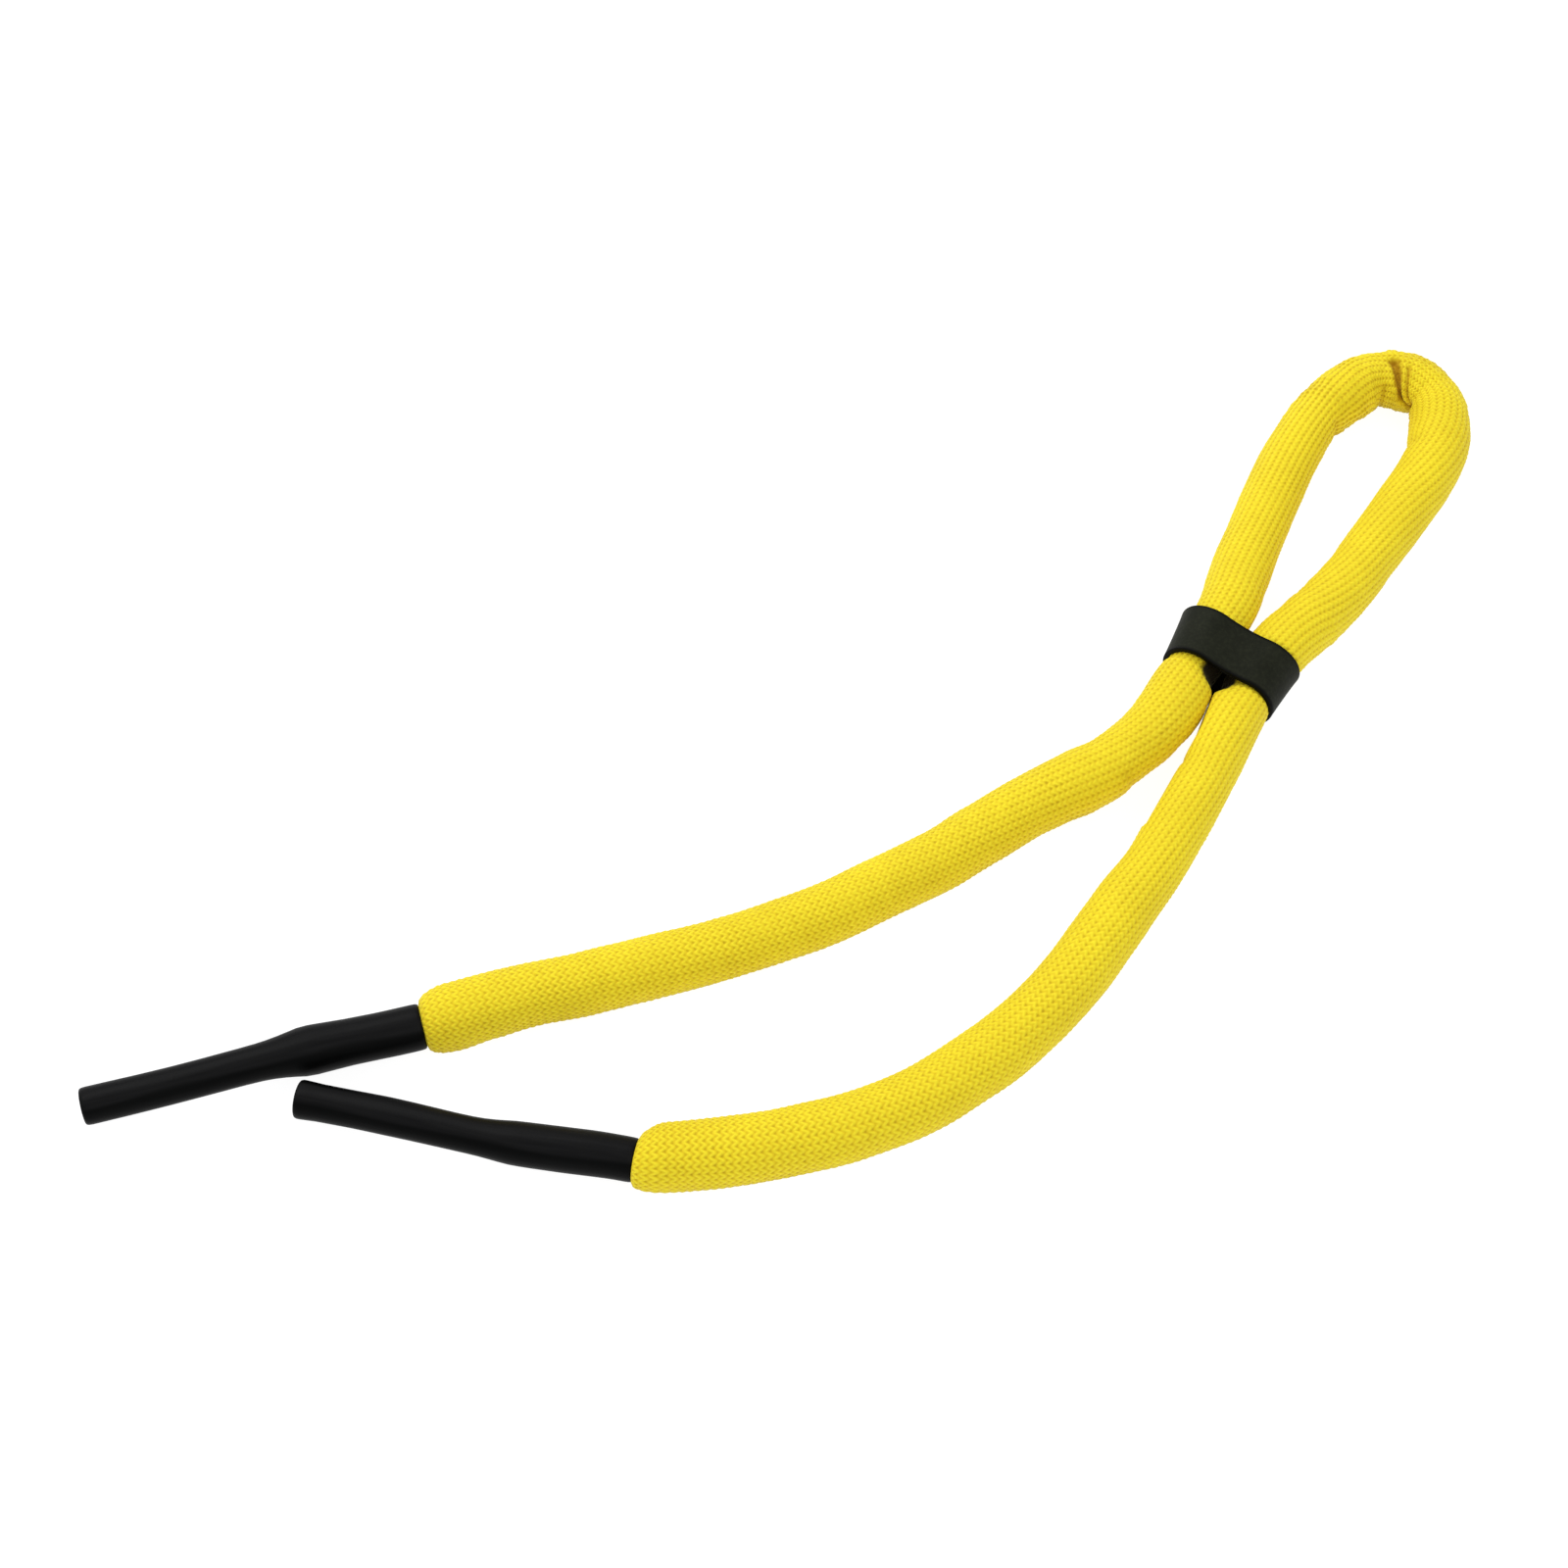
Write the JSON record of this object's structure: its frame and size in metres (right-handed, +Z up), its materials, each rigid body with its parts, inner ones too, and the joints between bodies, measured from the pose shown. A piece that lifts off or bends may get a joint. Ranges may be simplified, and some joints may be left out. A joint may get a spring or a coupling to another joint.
{
  "type": "eyeglass retainer strap",
  "caption": "Floating eyeglass retainer strap: knitted cover on a round foam cord, looped through a sliding keeper band, with rubber temple sleeves.",
  "frame": {"origin": "on the surface the strap lies on, under the middle of its outline", "axes": "+Z up from that surface; +X from the temple sleeves towards the head loop; +Y towards leg A's side"},
  "size_m": [0.2613, 0.1869, 0.0149],
  "materials": {
    "knit": "matt knitted polyester",
    "foam": "closed-cell foam",
    "thread": "twisted polyester thread",
    "sleeve_rubber": "smooth, half gloss",
    "keeper_rubber": "matt, fine grain"
  },
  "bodies": {
    "loop": {"knit_cover_loop": "knit", "foam_core_loop": "foam", "knit_cover_bend_a": "knit", "foam_core_bend_a": "foam", "knit_cover_bend_b": "knit", "foam_core_bend_b": "foam"},
    "keeper": {"keeper_band": "keeper_rubber"},
    "leg_a": {"knit_cover_leg_a": "knit", "foam_core_leg_a": "foam", "knit_cover_dome_a": "knit"},
    "sleeve_a": {"temple_sleeve_a": "sleeve_rubber", "knit_cover_tail_a": "knit", "binding_thread_a": "thread"},
    "leg_b": {"knit_cover_leg_b": "knit", "foam_core_leg_b": "foam", "knit_cover_dome_b": "knit"},
    "sleeve_b": {"temple_sleeve_b": "sleeve_rubber", "knit_cover_tail_b": "knit", "binding_thread_b": "thread"}
  },
  "joints": [
    {"name": "keeper_slide", "type": "slide", "parent": "loop", "child": "keeper", "axis": [-0.4848, -0.8746, 0], "range_m": [0, 0.008]},
    {"name": "leg_a_swing", "type": "hinge", "parent": "loop", "child": "leg_a", "pos_m": [0.04505, -0.0113, 0.0063], "axis": [0, 0, -1], "range_deg": [0, 35], "stiffness_Nm_per_rad": 0.01, "deforming": ["knit_cover_bend_a", "foam_core_bend_a"]},
    {"name": "leg_b_swing", "type": "hinge", "parent": "loop", "child": "leg_b", "pos_m": [0.06345, -0.0219, 0.0061], "axis": [0, 0, 1], "range_deg": [0, 35], "stiffness_Nm_per_rad": 0.01, "deforming": ["knit_cover_bend_b", "foam_core_bend_b"]},
    {"name": "sleeve_a_tilt", "type": "hinge", "parent": "leg_a", "child": "sleeve_a", "pos_m": [-0.0718, -0.0617, 0.006], "axis": [-0.2571, 0.9664, 0], "range_deg": [0, 30], "stiffness_Nm_per_rad": 0.004, "deforming": ["knit_cover_dome_a"]},
    {"name": "sleeve_b_tilt", "type": "hinge", "parent": "leg_b", "child": "sleeve_b", "pos_m": [-0.0336, -0.0877, 0.006], "axis": [0.1959, 0.9806, 0], "range_deg": [0, 30], "stiffness_Nm_per_rad": 0.004, "deforming": ["knit_cover_dome_b"]}
  ]
}
